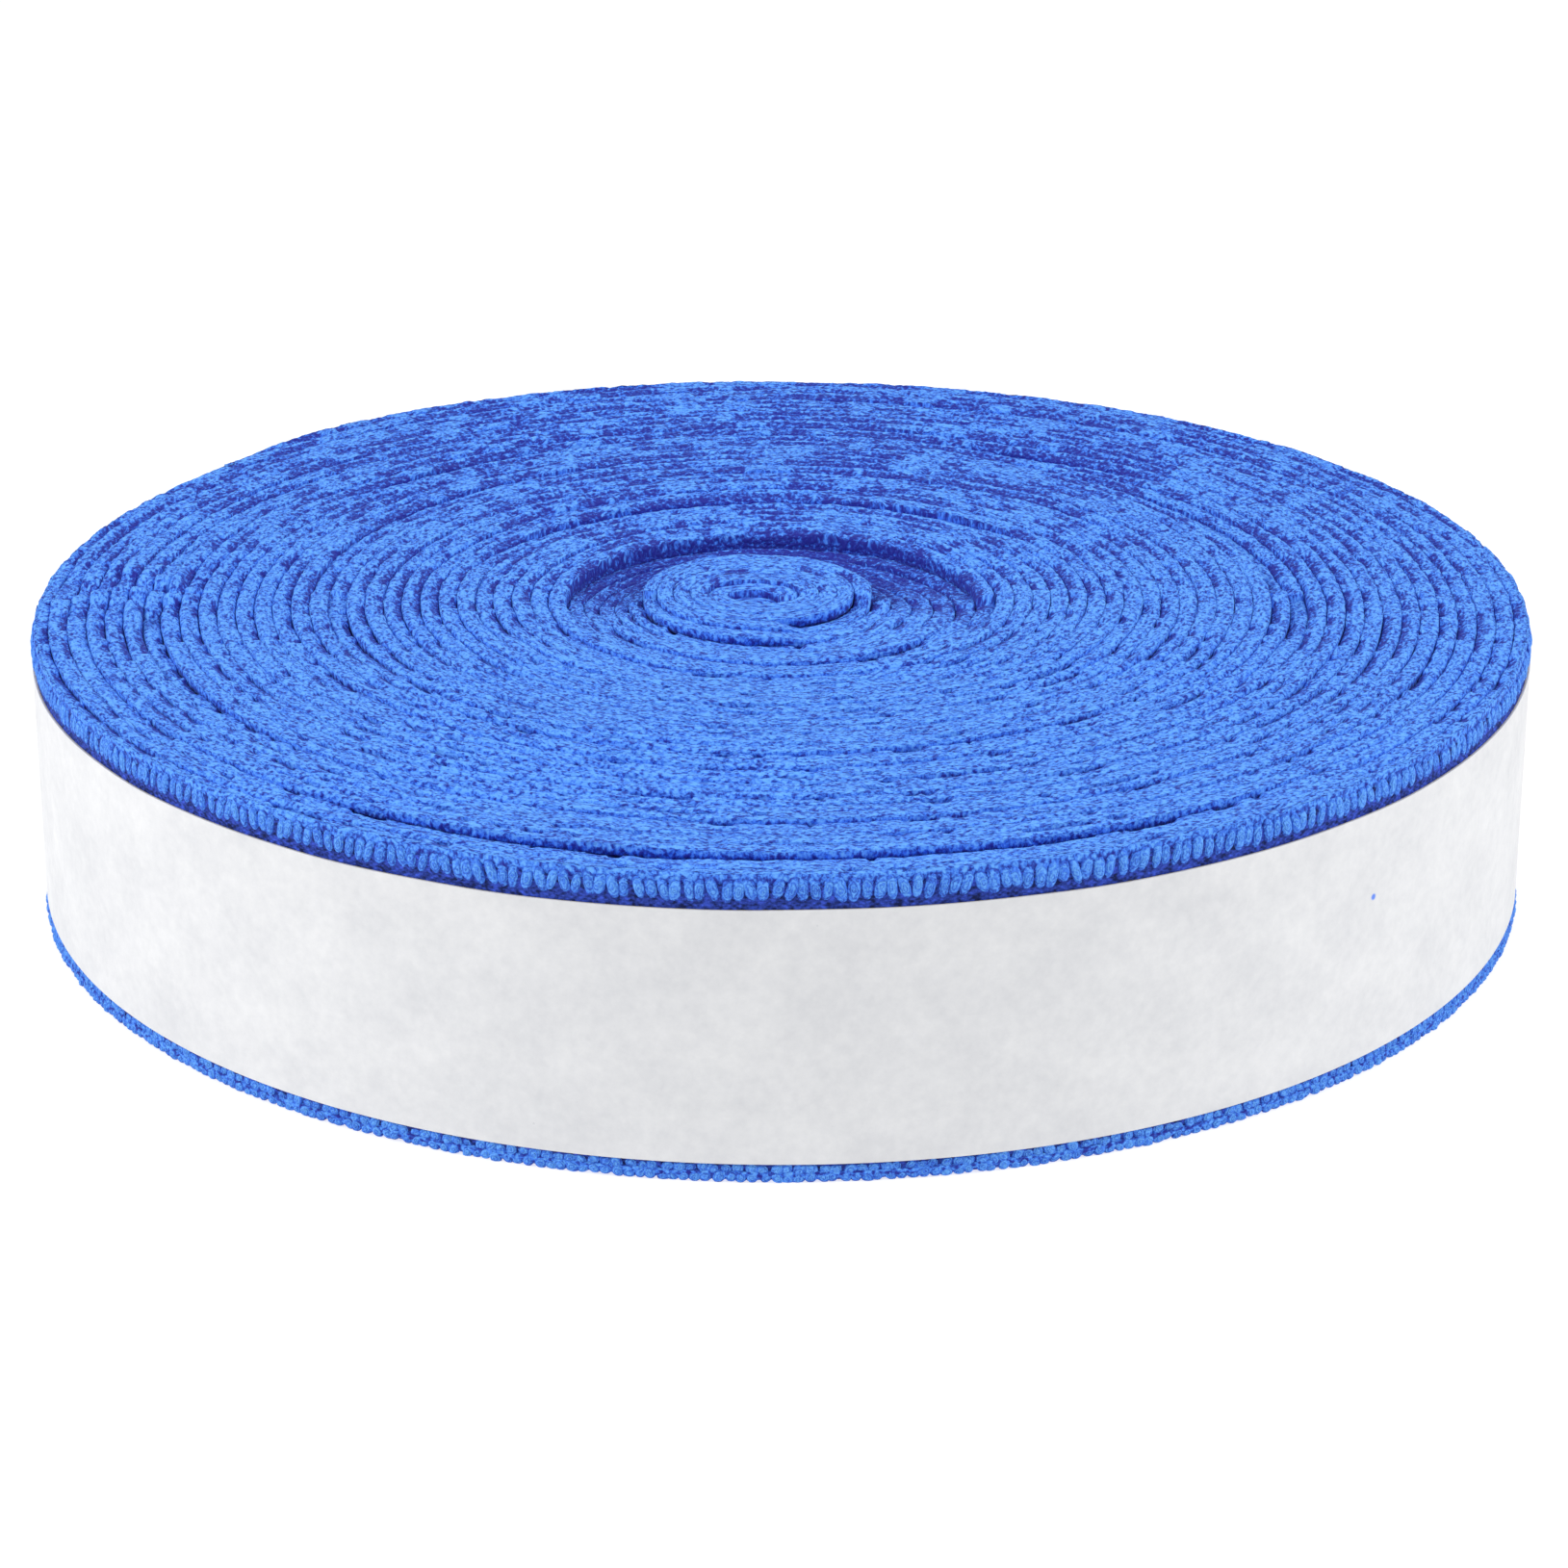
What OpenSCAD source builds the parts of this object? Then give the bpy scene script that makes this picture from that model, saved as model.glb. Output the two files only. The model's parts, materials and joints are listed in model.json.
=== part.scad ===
// Coreless roll of self-adhesive terry grip tape for racket handles.
// The tape is wound pile inwards on a two-centre spiral: every half turn is a true half ring,
// and its radius is half a pitch larger than that of the half turn inside it.
// The last stretch of tape at the back is free. It is cut into short links that hinge at the
// tape's outer face, so the wound end can be lifted off, and the end of its release paper
// is cut the same way, so it can be peeled off the adhesive.

/* [Roll] */
// Full turns wound before the free end starts
turns = 40; // [4:1:60]
// Radius of the hollow fold at the very centre
fold_r = 0.54; // [0.3:0.02:3]
// Spacing from one turn to the next
pitch = 1.92; // [1.9:0.01:2.4]

/* [Tape] */
// Overall width of the cloth, with the loops that stand past its cut edges
cloth_w = 30.8; // [28:0.1:50]
// How far the pile loops stand past the woven ground at each edge
loop_past = 1.1; // [0.2:0.05:1.2]
// Height of the loop pile
pile_t = 1.18; // [0.8:0.02:1.2]
// Thickness of the woven ground
weave_t = 0.4; // [0.2:0.02:0.4]
// Thickness of the adhesive coat
glue_t = 0.08; // [0.04:0.01:0.1]
// Thickness of the release paper
paper_t = 0.12; // [0.06:0.01:0.14]
// Width of the adhesive coat and its release paper
paper_w = 25.5; // [12:0.1:26]
// Height of the paper's lower edge above the cloth's, whose lower loops are crushed by its weight
paper_z = 1.85; // [1:0.05:1.9]

/* [Free end] */
// Where the free end leaves the roll, counted from the right hand side
free_from = 30; // [10:1:55]
// Links in the free end before the last one
links = 7; // [3:1:7]
// Arc of one such link
link_arc = 13; // [8:1:13]
// Arc of the last link on which the release paper stays put
lead_arc = 6; // [5:1:7]
// Tabs of release paper on the last link
tabs = 3; // [2:1:3]
// Arc of one tab
tab_arc = 5.5; // [5:0.5:7.5]
// Open joint between neighbouring links
joint_gap = 0.2; // [0.1:0.05:0.4]
// How much thinner the pile of the free end is, so that it clears the turn it lies on
free_clear = 0.22; // [0.1:0.02:0.3]

/* [Hidden] */
$fn = 96;
layer_gap = 0.02;
tab_clear = 0.05;
HALF = 180;
// Radial place of each layer inside one turn, from the pile's tips outwards
weave_at = pile_t + layer_gap;
glue_at = weave_at + weave_t + layer_gap;
paper_at = glue_at + glue_t + layer_gap;
tape_t = paper_at + paper_t;
// The woven ground lies along the middle of the cloth's width
weave_w = cloth_w - 2 * loop_past;
weave_z = loop_past;
// The free end belongs to the last half turn, on the back of the roll
last_half = 2 * turns;
free_r = half_r(last_half);
hinge_r = free_r + tape_t;
last_from = free_from + links * link_arc;
last_arc = lead_arc + tabs * tab_arc;
BLUE = [0.16, 0.45, 0.93];
WEAVE_BLUE = [0.10, 0.32, 0.78];
GLUE = [0.93, 0.93, 0.86, 0.7];
PAPER = [0.96, 0.96, 0.97];
function numbered(name, count) = [for (i = [1 : count]) str(name, "_", i)];

// Inner radius of half turn k, at the tips of the pile
function half_r(k) = fold_r + k * pitch / 2;

// Centre of half turn k. Back halves (even k) and front halves (odd k) turn about two points
// half a pitch apart, and the pair is placed so that the whole roll is centred on the origin.
function half_x(k) = k % 2 == 0 ? -pitch / 2 : 0;
centre_y = -pitch / 4;

// Angle that a length of arc takes up at the tape's outer face
function arc_angle(length) = length / hinge_r * HALF / PI;

// Stretch of one layer on half turn k, from angle a0 over arc a
module arc_layer(k, a0, a, at, t, z, w) {
    translate([half_x(k), centre_y, z])
        rotate([0, 0, a0])
            rotate_extrude(angle = a)
                translate([half_r(k) + at, 0])
                    square([t, w]);
}

// One layer of the whole wound roll, up to where the free end starts
module wound_layer(at, t, z, w) {
    for (k = [0 : last_half - 1])
        arc_layer(k, (k % 2) * HALF, HALF, at, t, z, w);
    arc_layer(last_half, 0, free_from - arc_angle(joint_gap / 2), at, t, z, w);
}

// One layer of a link of the free end, with half of the open joint left at both ends
module link_layer(a0, a, at, t, z, w) {
    gap = arc_angle(joint_gap / 2);
    arc_layer(last_half, a0 + gap, a - 2 * gap, at, t, z, w);
}

function link_from(i) = free_from + (i - 1) * link_arc;
function link_span(i) = i > links ? last_arc : link_arc;
function liner_span(i) = i > links ? lead_arc : link_arc;

// Roll
module roll_pile() {
    color(BLUE) wound_layer(0, pile_t, 0, cloth_w);
}

module roll_weave() {
    color(WEAVE_BLUE) wound_layer(weave_at, weave_t, weave_z, weave_w);
}

module roll_adhesive() {
    color(GLUE) wound_layer(glue_at, glue_t, paper_z, paper_w);
}

module roll_liner() {
    color(PAPER) wound_layer(paper_at, paper_t, paper_z, paper_w);
}

// Free end
module tail_pile(i) {
    color(BLUE)
        link_layer(link_from(i), link_span(i), free_clear, pile_t - free_clear, 0, cloth_w);
}

module tail_weave(i) {
    color(WEAVE_BLUE)
        link_layer(link_from(i), link_span(i), weave_at, weave_t, weave_z, weave_w);
}

module tail_adhesive(i) {
    color(GLUE) link_layer(link_from(i), link_span(i), glue_at, glue_t, paper_z, paper_w);
}

module tail_liner(i) {
    color(PAPER) link_layer(link_from(i), liner_span(i), paper_at, paper_t, paper_z, paper_w);
}

// Release paper of the last link, thinner on its inner face so that it lifts clear of the glue
module peel_liner(i) {
    color(PAPER)
        link_layer(last_from + lead_arc + (i - 1) * tab_arc, tab_arc,
                   paper_at + tab_clear, paper_t - tab_clear, paper_z, paper_w);
}

roll_pile();
roll_weave();
roll_adhesive();
roll_liner();
for (i = [1 : links + 1]) {
    tail_pile(i);
    tail_weave(i);
    tail_adhesive(i);
    tail_liner(i);
}
for (i = [1 : tabs]) {
    peel_liner(i);
}
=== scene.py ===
"""Coreless roll of self-adhesive terry grip tape, wound pile inwards, with its free end at the back."""

import json
import math
from collections import namedtuple

import bpy
import numpy as np
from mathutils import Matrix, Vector


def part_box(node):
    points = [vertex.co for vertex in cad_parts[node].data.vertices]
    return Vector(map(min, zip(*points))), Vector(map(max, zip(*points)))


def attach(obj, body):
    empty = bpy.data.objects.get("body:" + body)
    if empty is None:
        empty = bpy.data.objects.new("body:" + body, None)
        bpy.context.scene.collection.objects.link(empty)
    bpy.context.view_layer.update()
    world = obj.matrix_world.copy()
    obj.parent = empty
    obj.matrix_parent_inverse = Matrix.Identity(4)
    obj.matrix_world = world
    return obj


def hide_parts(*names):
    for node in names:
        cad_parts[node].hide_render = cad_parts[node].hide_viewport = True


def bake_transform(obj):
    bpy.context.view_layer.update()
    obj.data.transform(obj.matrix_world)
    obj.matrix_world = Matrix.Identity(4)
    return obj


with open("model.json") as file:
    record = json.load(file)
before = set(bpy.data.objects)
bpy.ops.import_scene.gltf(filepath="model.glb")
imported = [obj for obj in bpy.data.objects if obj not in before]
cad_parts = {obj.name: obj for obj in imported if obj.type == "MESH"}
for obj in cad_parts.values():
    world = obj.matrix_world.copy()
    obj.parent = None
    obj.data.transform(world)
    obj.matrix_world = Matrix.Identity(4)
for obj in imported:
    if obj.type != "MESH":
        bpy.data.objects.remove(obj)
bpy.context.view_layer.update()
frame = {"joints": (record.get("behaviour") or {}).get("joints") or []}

bl_info = {
    "name": "Terry Grip Tape Roll",
    "version": (1, 0, 0),
    "blender": (4, 5, 0),
    "location": "3D Viewport > Sidebar > Grip Tape",
    "description": "Builds a wound roll of terry grip tape with release paper",
    "category": "Add Mesh",
}

MM = 0.001
JOINTS = {joint["name"]: joint for joint in frame["joints"]}

# Winding, in millimetres: back half turns have even numbers, front half turns odd ones
PITCH = 1.92
FOLD_R = 0.54
BACK_X = -PITCH / 2
FRONT_X = 0.0
CENTRE_Y = -PITCH / 4
LAST_HALF = 80
ROLL_R = FOLD_R + LAST_HALF * PITCH / 2 + PITCH
HALF_R = FOLD_R + np.arange(LAST_HALF + 1) * PITCH / 2
HALF_X = np.where(np.arange(LAST_HALF + 1) % 2, FRONT_X, BACK_X)
HALF_START = np.concatenate(([0.0], np.cumsum(math.pi * HALF_R)[:-1]))

# Radial places of the layers inside one turn, from the pile's tips outwards, and their edges
CLOTH_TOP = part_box("roll_pile")[1].z / MM
WEAVE = (1.20, 1.60)
GLUE = (1.62, 1.70)
PAPER = (1.72, 1.84)
WEAVE_EDGES = [corner.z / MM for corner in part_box("roll_weave")]
PAPER_EDGES = [corner.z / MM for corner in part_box("roll_liner")]


def joint_turn(name):
    """Angle at which a joint of the free end stands, in degrees counted from the right."""
    x, y = (value / MM for value in JOINTS[name]["pos_m"][:2])
    return math.degrees(math.atan2(y - CENTRE_Y, x - BACK_X))


def along(half, degrees):
    """Distance along the tape, in millimetres, of a place in a half turn."""
    return HALF_START[half] + HALF_R[half] * math.radians(degrees)


# Free end: the joints' angles, the lengths of tape round them, and the tabs of the release paper
TAIL_JOINTS = ["tail_unwind"] + [f"tail_bend_{i}" for i in range(2, 9)]
PEEL_JOINTS = ["liner_peel", "peel_bend_2", "peel_bend_3"]
TAIL_TURNS = [joint_turn(name) for name in TAIL_JOINTS]
PEEL_TURNS = [joint_turn(name) for name in PEEL_JOINTS]
LINK_TURN = TAIL_TURNS[1] - TAIL_TURNS[0]
TAB_TURN = PEEL_TURNS[1] - PEEL_TURNS[0]
END_TURN = PEEL_TURNS[-1] + TAB_TURN
TAIL_CUTS = [turn - LINK_TURN / 2 for turn in TAIL_TURNS] + [END_TURN]
PEEL_CUTS = [
    (TAIL_TURNS[-1] + PEEL_TURNS[0]) / 2, *(turn - TAB_TURN / 2 for turn in PEEL_TURNS[1:]), END_TURN]


# ---------------------------------------------------------------- sizes and colours

class TapeSizes(bpy.types.PropertyGroup):
    """Spacing of the modelled detail"""

    loop_step: bpy.props.FloatProperty(
        name="Loop Step", description="Spacing of the modelled loops along the tape",
        default=0.36 * MM, min=0.2 * MM, max=2 * MM, unit="LENGTH", precision=5)
    strip_step: bpy.props.FloatProperty(
        name="Strip Step", description="Spacing of the stations in the plain layers",
        default=1.5 * MM, min=0.3 * MM, max=4 * MM, unit="LENGTH", precision=5)
    terry_pieces: bpy.props.IntProperty(
        name="Terry Pieces", description="Lengths into which the wound terry is divided",
        default=8, min=6, max=16)
    tuft_step: bpy.props.FloatProperty(
        name="Edge Loop Step", description="Spacing of the fat loops along the outer edges",
        default=1.12 * MM, min=0.8 * MM, max=3 * MM, unit="LENGTH", precision=5)


class PileRelief(bpy.types.PropertyGroup):
    """Unevenness of the terry pile"""

    loop_height: bpy.props.FloatProperty(
        name="Loop Height", description="How far single loops stand out of the pile",
        default=0.08 * MM, min=0, max=0.6 * MM, unit="LENGTH", precision=5)
    clump_height: bpy.props.FloatProperty(
        name="Clump Height", description="Unevenness of loops that lie together",
        default=0.10 * MM, min=0, max=0.6 * MM, unit="LENGTH", precision=5)
    pit_depth: bpy.props.FloatProperty(
        name="Pit Depth", description="Depth of the gaps in the pile's inner slope",
        default=0.08 * MM, min=0, max=2 * MM, unit="LENGTH", precision=5)
    pit_start: bpy.props.FloatProperty(
        name="Pit Start", description="Share of the pile that stays full: lower values open more gaps",
        default=0.66, min=0, max=1.2)
    turn_step: bpy.props.FloatProperty(
        name="Turn Step", description="How unevenly neighbouring turns stand",
        default=0.16 * MM, min=0, max=1 * MM, unit="LENGTH", precision=5)


def colour_property(name, description, default):
    return bpy.props.FloatVectorProperty(
        name=name, description=description, default=default, size=3, min=0, max=1, subtype="COLOR")


class TapeColours(bpy.types.PropertyGroup):
    """Linear colours of the tape's layers"""

    # The brightest yarn colour stands for a painted highlight on the loop tops and the darkest for painted shade at
    # their foot; the body colour between them is the yarn's own blue
    yarn_highlight: colour_property("Yarn Highlight", "Top of the loops", (0.132, 0.405, 1.0))
    yarn: colour_property("Yarn", "Body of the loops", (0.049, 0.198, 0.85))
    yarn_shade: colour_property("Yarn Shade", "Foot of the loops", (0.016, 0.022, 0.30))
    weave: colour_property("Ground Weave", "Woven ground of the cloth", (0.026, 0.056, 0.36))
    paper: colour_property("Release Paper", "Face of the release paper", (0.785, 0.79, 0.805))
    paper_cloud: colour_property("Paper Cloud", "Darker clouds in the paper", (0.665, 0.673, 0.698))
    adhesive: colour_property("Adhesive", "Tacky coat", (0.72, 0.66, 0.50))


class GripTapeSettings(bpy.types.PropertyGroup):
    """All settings of the grip tape roll"""

    sizes: bpy.props.PointerProperty(type=TapeSizes)
    relief: bpy.props.PointerProperty(type=PileRelief)
    colours: bpy.props.PointerProperty(type=TapeColours)


# ---------------------------------------------------------------- random fields

def cell_value(ix, iy, seed):
    """Repeatable value from 0 to 1 for each whole-numbered cell."""
    n = (ix.astype(np.int64) * 374761393 + iy.astype(np.int64) * 668265263 + seed * 224682251) & 0xFFFFFFFF
    n = ((n ^ (n >> 13)) * 1274126177) & 0xFFFFFFFF
    n = ((n ^ (n >> 15)) * 2246822519) & 0xFFFFFFFF
    return ((n ^ (n >> 16)) & 0xFFFFF) / float(0xFFFFF)


def smooth(t):
    t = np.clip(t, 0.0, 1.0)
    return t * t * (3 - 2 * t)


def field(x, y, seed):
    """Smooth random field from 0 to 1, one cell to a unit."""
    x, y = np.broadcast_arrays(np.asarray(x, float), np.asarray(y, float))
    ix, iy = np.floor(x), np.floor(y)
    fx, fy = smooth(x - ix), smooth(y - iy)
    near = cell_value(ix, iy, seed) * (1 - fx) + cell_value(ix + 1, iy, seed) * fx
    far = cell_value(ix, iy + 1, seed) * (1 - fx) + cell_value(ix + 1, iy + 1, seed) * fx
    return near * (1 - fy) + far * fy


# ---------------------------------------------------------------- winding

# Height of the roll's top against its nominal edge, in millimetres, at shares of its radius,
# behind and in front, and how far the whole top leans up towards the back
TOP_AT = (0, 0.06, 0.10, 0.142, 0.160, 0.19, 0.25, 0.268, 0.285, 0.40, 0.60, 0.90, 1.0)
TOP_BACK = (-2.9, -0.8, -0.6, -0.55, -2.4, -3.2, -3.1, -2.4, -0.75, -0.45, -0.20, -0.12, -0.22)
TOP_FRONT = (-2.9, -0.9, -0.8, -0.9, -1.5, -1.6, -1.4, -1.1, -0.75, -0.45, -0.20, -0.12, -0.22)
TOP_TILT = 0.15
# The pile at the tape's cut end sinks this far over this length
END_DROP, END_REACH = 0.85, 14.0
# Turns that stand low along part of their way round: radius and depth in millimetres,
# then the middle of the low part and its half width in degrees
LOW_TURNS = (
    (32.2, 0.95, 95, 80), (36.6, 0.50, 115, 60), (41.5, 0.30, 70, 50), (47.2, 0.50, 150, 60),
    (57.6, 1.30, 95, 60), (54.0, 1.10, 25, 50), (65.5, 0.55, 175, 70), (66.2, 0.40, 285, 70),
    (70.0, 0.35, 60, 50), (73.6, 0.60, 120, 40), (73.8, 0.80, 275, 48), (48.4, 0.30, 270, 60),
    (26.5, 0.35, 260, 70), (10.9, 1.20, 318, 45), (19.8, 0.55, 270, 80), (14.8, 0.60, 265, 70))
# How wide a low turn's full depth reaches, and how fast it ends, in turns
LOW_WIDTH, LOW_FALL = 1.5, 1.6
# Lengths of tape over which turns stand unevenly, in millimetres
LONG_WAVE, SHORT_WAVE = 80, 9
# The core is wound a little flat inside this radius, and sits aside inside the second pair of radii
CORE_FLATTEN = 0.14
CORE_REACH = 15.0
CORE_SHIFT_X, CORE_SHIFT_Y = -1.9, 1.5
SHIFT_FROM, SHIFT_TO = 9.0, 23.0
# Heights between which the top's unevenness grows from nothing to full
SETTLE_FROM, SETTLE_TO = 3.0, 27.0


def turn_place(s):
    """Half turn, angle and inner radius at distances along the tape."""
    half = np.clip(np.searchsorted(HALF_START, s, side="right") - 1, 0, LAST_HALF)
    angle = (s - HALF_START[half]) / HALF_R[half] + (half % 2) * math.pi
    return half, angle, HALF_R[half]


def far_side(angle):
    """Share of the roll's far half at an angle: 1 behind, 0 in front, blended between them."""
    return smooth(0.5 + 0.8 * np.sin(angle))


def top_height(s, turn_step):
    """How far above or below the nominal edge a turn's top stands."""
    _, angle, radius = turn_place(s)
    share = (radius + PITCH / 2) / ROLL_R
    behind = far_side(angle)
    height = behind * np.interp(share, TOP_AT, TOP_BACK) + (1 - behind) * np.interp(share, TOP_AT, TOP_FRONT)
    height = height + TOP_TILT * share * np.sin(angle)
    for ring, depth, middle, reach in LOW_TURNS:
        near = np.clip(LOW_WIDTH - np.abs(share * ROLL_R - ring) / PITCH * LOW_FALL, 0, 1)
        away = np.abs((np.degrees(angle) - middle + 180) % 360 - 180)
        height = height - depth * near * smooth((reach - away) / (0.5 * reach))
    height = height + (field(s / LONG_WAVE, 0, 11) - 0.5) * 2 * turn_step
    height = height + (field(s / SHORT_WAVE, 0, 12) - 0.5) * turn_step
    return height


def pile_height(s, turn_step):
    """Height of the pile's top, which sinks towards the tape's cut end."""
    left = along(LAST_HALF, END_TURN) - s
    return top_height(s, turn_step) - END_DROP * smooth(1 - left / END_REACH)


def wind(s, u, z, height):
    """Lays flat tape coordinates round the roll and settles its core and its top."""
    half, angle, radius = turn_place(s)
    x = HALF_X[half] + (radius + u) * np.cos(angle)
    y = CENTRE_Y + (radius + u) * np.sin(angle)
    z = z + height * smooth((z - SETTLE_FROM) / (SETTLE_TO - SETTLE_FROM))
    rho = np.hypot(x, y)
    flatten = 1 + CORE_FLATTEN * smooth(1 - rho / CORE_REACH)
    x, y = x * flatten, y / flatten
    shift = smooth((SHIFT_TO - rho) / (SHIFT_TO - SHIFT_FROM))
    x, y = x + CORE_SHIFT_X * shift, y + CORE_SHIFT_Y * shift
    return np.stack((x, y, z), axis=-1)


# ---------------------------------------------------------------- mesh helpers

def deselect_all():
    if bpy.context.object and bpy.context.object.mode != "OBJECT":
        bpy.ops.object.mode_set(mode="OBJECT")
    bpy.ops.object.select_all(action="DESELECT")


def get_points(obj):
    points = np.zeros(len(obj.data.vertices) * 3, np.float32)
    obj.data.vertices.foreach_get("co", points)
    return points.reshape(-1, 3).astype(float)


def set_points(obj, points):
    obj.data.vertices.foreach_set("co", np.ascontiguousarray(points, np.float32).ravel())
    obj.data.update()


def set_values(obj, name, values):
    """Stores a number or a vector on each vertex."""
    values = np.ascontiguousarray(values, np.float32)
    kind, key = ("FLOAT", "value") if values.ndim == 1 else ("FLOAT_VECTOR", "vector")
    layer = obj.data.attributes.get(name) or obj.data.attributes.new(name, kind, "POINT")
    layer.data.foreach_set(key, values.ravel())


def repeat_along(obj, step, count, merge):
    """Repeats a modelled piece along X."""
    array = obj.modifiers.new("length", "ARRAY")
    array.use_relative_offset = False
    array.use_constant_offset = True
    array.constant_offset_displace = (step, 0, 0)
    array.count = count
    array.use_merge_vertices = merge
    array.merge_threshold = step / 4
    bpy.ops.object.modifier_apply(modifier=array.name)


def flat_strip(name, outline, start, end, step):
    """Straight closed strip: one slice of its outline, repeated to the strip's length, with closed ends."""
    deselect_all()
    count = max(2, math.ceil((end - start) / step))
    slice_length = (end - start) / count * MM
    bpy.ops.mesh.primitive_circle_add(
        vertices=len(outline), radius=MM, fill_type="NOTHING", location=(0, 0, 0))
    obj = bpy.context.object
    obj.name = obj.data.name = name
    for vertex, (u, z) in zip(obj.data.vertices, outline):
        vertex.co = (0, u * MM, z * MM)
    bpy.ops.object.mode_set(mode="EDIT")
    bpy.ops.mesh.select_all(action="SELECT")
    bpy.ops.mesh.extrude_region_move(TRANSFORM_OT_translate={"value": (slice_length, 0, 0)})
    bpy.ops.object.mode_set(mode="OBJECT")
    repeat_along(obj, slice_length, count, merge=True)
    bpy.ops.object.mode_set(mode="EDIT")
    bpy.ops.mesh.select_mode(type="EDGE")
    bpy.ops.mesh.select_all(action="DESELECT")
    bpy.ops.mesh.select_non_manifold()
    bpy.ops.mesh.fill_holes(sides=0)
    bpy.ops.mesh.select_all(action="SELECT")
    bpy.ops.mesh.normals_make_consistent(inside=False)
    bpy.ops.object.mode_set(mode="OBJECT")
    return obj


def finish_piece(obj, material):
    obj.data.materials.clear()
    obj.data.materials.append(material)
    return obj


def smooth_faces(obj, angle=None):
    deselect_all()
    obj.select_set(True)
    bpy.context.view_layer.objects.active = obj
    if angle is None:
        bpy.ops.object.shade_smooth()
    else:
        bpy.ops.object.shade_smooth_by_angle(angle=math.radians(angle))


def join_into(obj, others):
    """Joins pieces of the same layer into one mesh."""
    deselect_all()
    for other in others:
        other.select_set(True)
    obj.select_set(True)
    bpy.context.view_layer.objects.active = obj
    bpy.ops.object.join()
    return obj


# ---------------------------------------------------------------- shader helpers

def new_material(name):
    material = bpy.data.materials.new(name)
    material.use_nodes = True
    tree = material.node_tree
    tree.nodes.clear()
    output = tree.nodes.new("ShaderNodeOutputMaterial")
    shader = tree.nodes.new("ShaderNodeBsdfPrincipled")
    tree.links.new(shader.outputs["BSDF"], output.inputs["Surface"])
    return material, tree, shader


def add(tree, kind, inputs=None, **settings):
    """Adds a node, sets its options, and sets or links its inputs."""
    item = tree.nodes.new(kind)
    for key, value in settings.items():
        setattr(item, key, value)
    for key, value in (inputs or {}).items():
        if isinstance(value, bpy.types.NodeSocket):
            tree.links.new(value, item.inputs[key])
        else:
            item.inputs[key].default_value = value
    return item


def math_node(tree, operation, a, b=0.0, c=0.0, clamp=False):
    item = add(tree, "ShaderNodeMath", {0: a, 1: b, 2: c}, operation=operation, use_clamp=clamp)
    return item.outputs[0]


def vector_node(tree, operation, a, b, c=(0.0, 0.0, 0.0)):
    item = add(tree, "ShaderNodeVectorMath", {0: a, 1: b, 2: c}, operation=operation)
    return item.outputs[0]


def noise(tree, place, scale, detail, roughness=0.5):
    return add(tree, "ShaderNodeTexNoise", {
        "Vector": place, "Scale": scale, "Detail": detail, "Roughness": roughness})


def fade(tree, value, start, end, top):
    """Falls from a top value to 0 between two places."""
    item = add(tree, "ShaderNodeMapRange", {
        "Value": value, "From Min": start, "From Max": end, "To Min": top, "To Max": 0.0})
    return item.outputs["Result"]


def mix_colour(tree, factor, a, b):
    item = tree.nodes.new("ShaderNodeMix")
    item.data_type = "RGBA"
    for socket, value in ((item.inputs[0], factor), (item.inputs[6], a), (item.inputs[7], b)):
        if isinstance(value, bpy.types.NodeSocket):
            tree.links.new(value, socket)
        else:
            socket.default_value = (*value, 1) if hasattr(value, "__len__") else value
    return item.outputs[2]


def ramp(tree, factor, stops):
    """Smooth ramp through (place, colour) stops."""
    item = add(tree, "ShaderNodeValToRGB", {"Fac": factor})
    band = item.color_ramp
    band.interpolation = "LINEAR"
    while len(band.elements) < len(stops):
        band.elements.new(0.5)
    for element, (place, colour) in zip(band.elements, stops):
        element.position = place
        element.color = (*colour, 1)
    return item.outputs["Color"]


def new_group(name, inputs, outputs):
    """Empty shader group with float and vector sockets."""
    group = bpy.data.node_groups.new(name, "ShaderNodeTree")
    for label, kind, default in inputs:
        socket = group.interface.new_socket(name=label, in_out="INPUT", socket_type=kind)
        if default is not None:
            socket.default_value = default
    for label, kind in outputs:
        group.interface.new_socket(name=label, in_out="OUTPUT", socket_type=kind)
    return group, group.nodes.new("NodeGroupInput"), group.nodes.new("NodeGroupOutput")


def use_group(tree, name, inputs):
    item = add(tree, "ShaderNodeGroup", node_tree=bpy.data.node_groups[name])
    for key, value in inputs.items():
        if isinstance(value, bpy.types.NodeSocket):
            tree.links.new(value, item.inputs[key])
        else:
            item.inputs[key].default_value = value
    return item


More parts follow.
